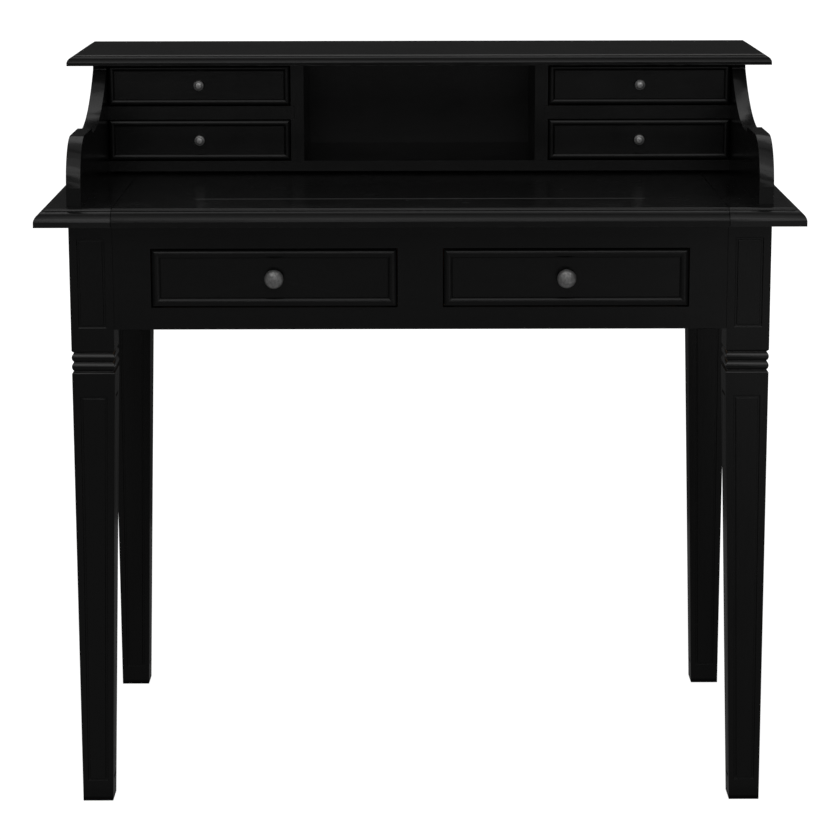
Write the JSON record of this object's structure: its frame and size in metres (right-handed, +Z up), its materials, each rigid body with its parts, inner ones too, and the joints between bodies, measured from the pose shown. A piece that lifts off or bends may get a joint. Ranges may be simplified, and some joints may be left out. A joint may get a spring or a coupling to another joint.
{
  "type": "bonheur du jour",
  "caption": "Small black-painted writing desk on tapered legs, with drawers in its apron and a raised back of small drawers beside an open pigeonhole.",
  "frame": {"origin": "on the floor, under the middle of the desk top", "axes": "+X to the right side seen from the front, +Y to the back, +Z up"},
  "size_m": [0.96, 0.615, 0.944],
  "materials": {
    "black_paint": "satin black paint over close-grained wood, edges a little worn",
    "drawer_wood": "bare planed hardwood",
    "inner_wood": "bare sawn hardwood",
    "pewter": "aged pewter-grey cast metal",
    "steel": "plain wood screws"
  },
  "bodies": {
    "carcass": {"back_apron": "black_paint", "breadboard_end_left": "black_paint", "breadboard_end_right": "black_paint", "corner_blocks": "inner_wood", "desk_top_panel": "black_paint", "drawer_guides": "inner_wood", "drawer_kickers": "inner_wood", "drawer_runners": "inner_wood", "drawer_stops": "inner_wood", "front_bottom_rail": "black_paint", "front_centre_stile": "black_paint", "front_end_stiles": "black_paint", "front_top_rail": "black_paint", "hutch_back": "black_paint", "hutch_back_screws": "steel", "hutch_bottom": "black_paint", "hutch_divider_left": "black_paint", "hutch_divider_right": "black_paint", "hutch_dowels": "inner_wood", "hutch_shelf_left": "black_paint", "hutch_shelf_right": "black_paint", "hutch_side_left": "black_paint", "hutch_side_right": "black_paint", "hutch_top": "black_paint", "leg_back_left": "black_paint", "leg_back_right": "black_paint", "leg_front_left": "black_paint", "leg_front_right": "black_paint", "side_apron_left": "black_paint", "side_apron_right": "black_paint", "top_button_screws": "steel", "top_buttons": "inner_wood"},
    "wide_drawer_left": {"wide_drawer_left_back": "drawer_wood", "wide_drawer_left_beading": "black_paint", "wide_drawer_left_bottom": "drawer_wood", "wide_drawer_left_front": "black_paint", "wide_drawer_left_knob": "pewter", "wide_drawer_left_sides": "drawer_wood"},
    "wide_drawer_right": {"wide_drawer_right_back": "drawer_wood", "wide_drawer_right_beading": "black_paint", "wide_drawer_right_bottom": "drawer_wood", "wide_drawer_right_front": "black_paint", "wide_drawer_right_knob": "pewter", "wide_drawer_right_sides": "drawer_wood"},
    "small_drawer_lower_left": {"small_drawer_lower_left_beading": "black_paint", "small_drawer_lower_left_box": "drawer_wood", "small_drawer_lower_left_front": "black_paint", "small_drawer_lower_left_knob": "pewter"},
    "small_drawer_lower_right": {"small_drawer_lower_right_beading": "black_paint", "small_drawer_lower_right_box": "drawer_wood", "small_drawer_lower_right_front": "black_paint", "small_drawer_lower_right_knob": "pewter"},
    "small_drawer_upper_left": {"small_drawer_upper_left_beading": "black_paint", "small_drawer_upper_left_box": "drawer_wood", "small_drawer_upper_left_front": "black_paint", "small_drawer_upper_left_knob": "pewter"},
    "small_drawer_upper_right": {"small_drawer_upper_right_beading": "black_paint", "small_drawer_upper_right_box": "drawer_wood", "small_drawer_upper_right_front": "black_paint", "small_drawer_upper_right_knob": "pewter"}
  },
  "joints": [
    {"name": "wide_drawer_left_slide", "type": "slide", "parent": "carcass", "child": "wide_drawer_left", "axis": [0, -1, 0], "range_m": [0, 0.28]},
    {"name": "wide_drawer_right_slide", "type": "slide", "parent": "carcass", "child": "wide_drawer_right", "axis": [0, -1, 0], "range_m": [0, 0.28]},
    {"name": "small_drawer_lower_left_slide", "type": "slide", "parent": "carcass", "child": "small_drawer_lower_left", "axis": [0, -1, 0], "range_m": [0, 0.14]},
    {"name": "small_drawer_lower_right_slide", "type": "slide", "parent": "carcass", "child": "small_drawer_lower_right", "axis": [0, -1, 0], "range_m": [0, 0.14]},
    {"name": "small_drawer_upper_left_slide", "type": "slide", "parent": "carcass", "child": "small_drawer_upper_left", "axis": [0, -1, 0], "range_m": [0, 0.14]},
    {"name": "small_drawer_upper_right_slide", "type": "slide", "parent": "carcass", "child": "small_drawer_upper_right", "axis": [0, -1, 0], "range_m": [0, 0.14]}
  ]
}
